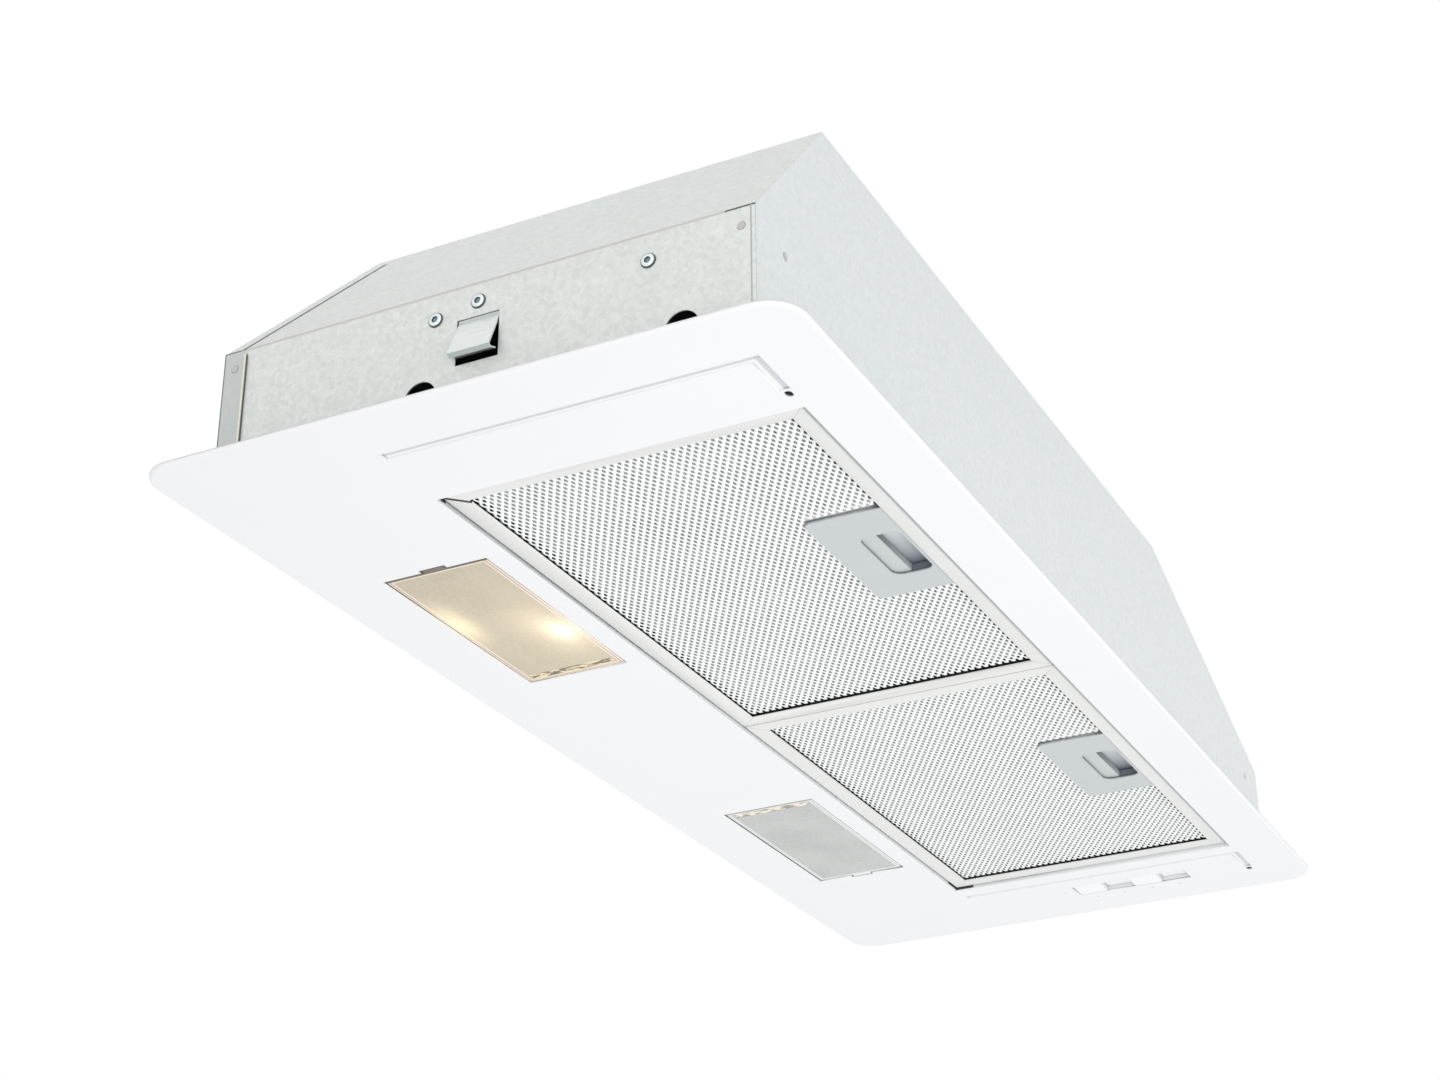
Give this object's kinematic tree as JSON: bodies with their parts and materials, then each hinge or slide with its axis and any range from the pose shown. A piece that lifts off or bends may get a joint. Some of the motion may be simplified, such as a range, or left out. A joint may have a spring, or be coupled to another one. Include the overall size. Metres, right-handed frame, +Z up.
{
  "type": "built-in range hood",
  "caption": "Slim built-in range hood with hinged grease filters, sprung filter latches, lamps, push buttons, a centrifugal blower and a flapped duct collar.",
  "frame": {"origin": "centre of the face plate's flat underside", "axes": "+X to the cook's right, +Y to the wall, +Z up"},
  "size_m": [0.7, 0.286, 0.171],
  "materials": {
    "plate_paint": "white powder-coated steel, low sheen",
    "galvanised": "galvanised sheet steel, fine spangle",
    "zinc_screw": "zinc-plated steel",
    "rivet_steel": "plated blind rivets with dark centres",
    "spring_steel": "bright spring steel",
    "filter_frame": "rolled aluminium, satin",
    "filter_mesh": "expanded aluminium mesh",
    "filter_core": "stacked expanded mesh layers",
    "latch_plastic": "cool grey moulded plastic",
    "lamp_housing": "painted steel sheet",
    "lamp_socket": "moulded heatproof socket",
    "bulb_glass": "pearl glass with a metal cap",
    "lamp_lens": "frosted polycarbonate, prism pattern",
    "switch_white": "white moulded plastic",
    "button_white": "white moulded plastic",
    "blower_black": "black moulded plastic",
    "impeller_plastic": "dark grey moulded plastic",
    "shaft_steel": "ground steel",
    "motor_paint": "grey painted can",
    "bracket_steel": "zinc-plated sheet",
    "grommet_rubber": "soft rubber",
    "collar_plastic": "black moulded plastic",
    "capacitor_case": "white plastic can",
    "terminal_plastic": "light grey moulded plastic",
    "gland_nylon": "black nylon"
  },
  "bodies": {
    "chassis": {"face_plate": "plate_paint", "front_panel": "galvanised", "rear_panel": "galvanised", "left_end_wall": "galvanised", "right_end_wall": "galvanised", "left_slope_panel": "galvanised", "right_slope_panel": "galvanised", "top_panel": "galvanised", "body_screws": "zinc_screw", "wall_rivets": "rivet_steel", "plate_nuts": "zinc_screw", "clip_plate_left": "spring_steel", "clip_plate_right": "spring_steel", "lamp_housing_left": "lamp_housing", "lamp_socket_left": "lamp_socket", "lamp_bulb_left": "bulb_glass", "lamp_housing_right": "lamp_housing", "lamp_socket_right": "lamp_socket", "lamp_bulb_right": "bulb_glass", "switch_housing": "switch_white", "scroll_left_half": "blower_black", "scroll_right_half": "blower_black", "motor_body": "motor_paint", "motor_bracket": "bracket_steel", "motor_grommets": "grommet_rubber", "outlet_collar": "collar_plastic", "damper_pin": "shaft_steel", "run_capacitor": "capacitor_case", "capacitor_clamp": "bracket_steel", "terminal_box": "terminal_plastic", "terminal_box_lid": "terminal_plastic", "cable_gland": "gland_nylon", "gland_nut": "gland_nylon"},
    "left_clip": {"clip_tongue_left": "spring_steel"},
    "right_clip": {"clip_tongue_right": "spring_steel"},
    "left_filter": {"filter_frame_left": "filter_frame", "filter_mesh_left": "filter_mesh", "filter_core_left": "filter_core", "latch_plate_left": "latch_plastic", "latch_spring_left": "spring_steel"},
    "right_filter": {"filter_frame_right": "filter_frame", "filter_mesh_right": "filter_mesh", "filter_core_right": "filter_core", "latch_plate_right": "latch_plastic", "latch_spring_right": "spring_steel"},
    "left_latch": {"latch_slide_left": "latch_plastic"},
    "right_latch": {"latch_slide_right": "latch_plastic"},
    "left_lamp_cover": {"lamp_cover_left": "lamp_lens"},
    "right_lamp_cover": {"lamp_cover_right": "lamp_lens"},
    "button_row_1": {"button_1": "button_white"},
    "button_row_2": {"button_2": "button_white"},
    "button_row_3": {"button_3": "button_white"},
    "button_row_4": {"button_4": "button_white"},
    "rotor": {"impeller_disc": "impeller_plastic", "impeller_vanes_left": "impeller_plastic", "impeller_vanes_right": "impeller_plastic", "rotor_shaft": "shaft_steel"},
    "front_flap": {"damper_flap_front": "collar_plastic"},
    "rear_flap": {"damper_flap_rear": "collar_plastic"}
  },
  "joints": [
    {"name": "left_filter_hinge", "type": "hinge", "parent": "chassis", "child": "left_filter", "pos_m": [-0.1378, 0.044, 0.0035], "axis": [1, 0, 0], "range_deg": [0, 85]},
    {"name": "left_latch_slide", "type": "slide", "parent": "left_filter", "child": "left_latch", "axis": [0, 1, 0], "range_m": [0, 0.005], "stiffness_N_per_m": 300, "springref_m": -0.004, "deforming": ["latch_spring_left"]},
    {"name": "right_filter_hinge", "type": "hinge", "parent": "chassis", "child": "right_filter", "pos_m": [0.1378, 0.044, 0.0035], "axis": [1, 0, 0], "range_deg": [0, 85]},
    {"name": "right_latch_slide", "type": "slide", "parent": "right_filter", "child": "right_latch", "axis": [0, 1, 0], "range_m": [0, 0.005], "stiffness_N_per_m": 300, "springref_m": -0.004, "deforming": ["latch_spring_right"]},
    {"name": "left_lamp_cover_hinge", "type": "hinge", "parent": "chassis", "child": "left_lamp_cover", "pos_m": [-0.1035, 0.0853, 0.0026], "axis": [0, -1, 0], "range_deg": [0, 75]},
    {"name": "right_lamp_cover_hinge", "type": "hinge", "parent": "chassis", "child": "right_lamp_cover", "pos_m": [0.1035, 0.0853, 0.0026], "axis": [0, 1, 0], "range_deg": [0, 75]},
    {"name": "left_clip_flex", "type": "hinge", "parent": "chassis", "child": "left_clip", "pos_m": [-0.3263, 0, 0.045], "axis": [0, -1, 0], "range_deg": [0, 18], "stiffness_Nm_per_rad": 0.5},
    {"name": "right_clip_flex", "type": "hinge", "parent": "chassis", "child": "right_clip", "pos_m": [0.3263, 0, 0.045], "axis": [0, 1, 0], "range_deg": [0, 18], "stiffness_Nm_per_rad": 0.5},
    {"name": "button_1_press", "type": "slide", "parent": "chassis", "child": "button_row_1", "axis": [0, 0, 1], "range_m": [0, 0.0028], "stiffness_N_per_m": 250, "springref_m": -0.002},
    {"name": "button_2_press", "type": "slide", "parent": "chassis", "child": "button_row_2", "axis": [0, 0, 1], "range_m": [-0.0028, 0]},
    {"name": "button_3_press", "type": "slide", "parent": "chassis", "child": "button_row_3", "axis": [0, 0, 1], "range_m": [0, 0.0028], "stiffness_N_per_m": 250, "springref_m": -0.002},
    {"name": "button_4_press", "type": "slide", "parent": "chassis", "child": "button_row_4", "axis": [0, 0, 1], "range_m": [-0.0028, 0]},
    {"name": "fan_spin", "type": "hinge", "parent": "chassis", "child": "rotor", "pos_m": [-0.052, -0.03362, 0.074], "axis": [1, 0, 0], "continuous": true},
    {"name": "rear_flap_hinge", "type": "hinge", "parent": "chassis", "child": "rear_flap", "pos_m": [-0.052, -0.012, 0.1455], "axis": [1, 0, 0], "range_deg": [0, 80]},
    {"name": "front_flap_hinge", "type": "hinge", "parent": "chassis", "child": "front_flap", "pos_m": [-0.052, -0.012, 0.1455], "axis": [-1, 0, 0], "range_deg": [0, 80]}
  ]
}
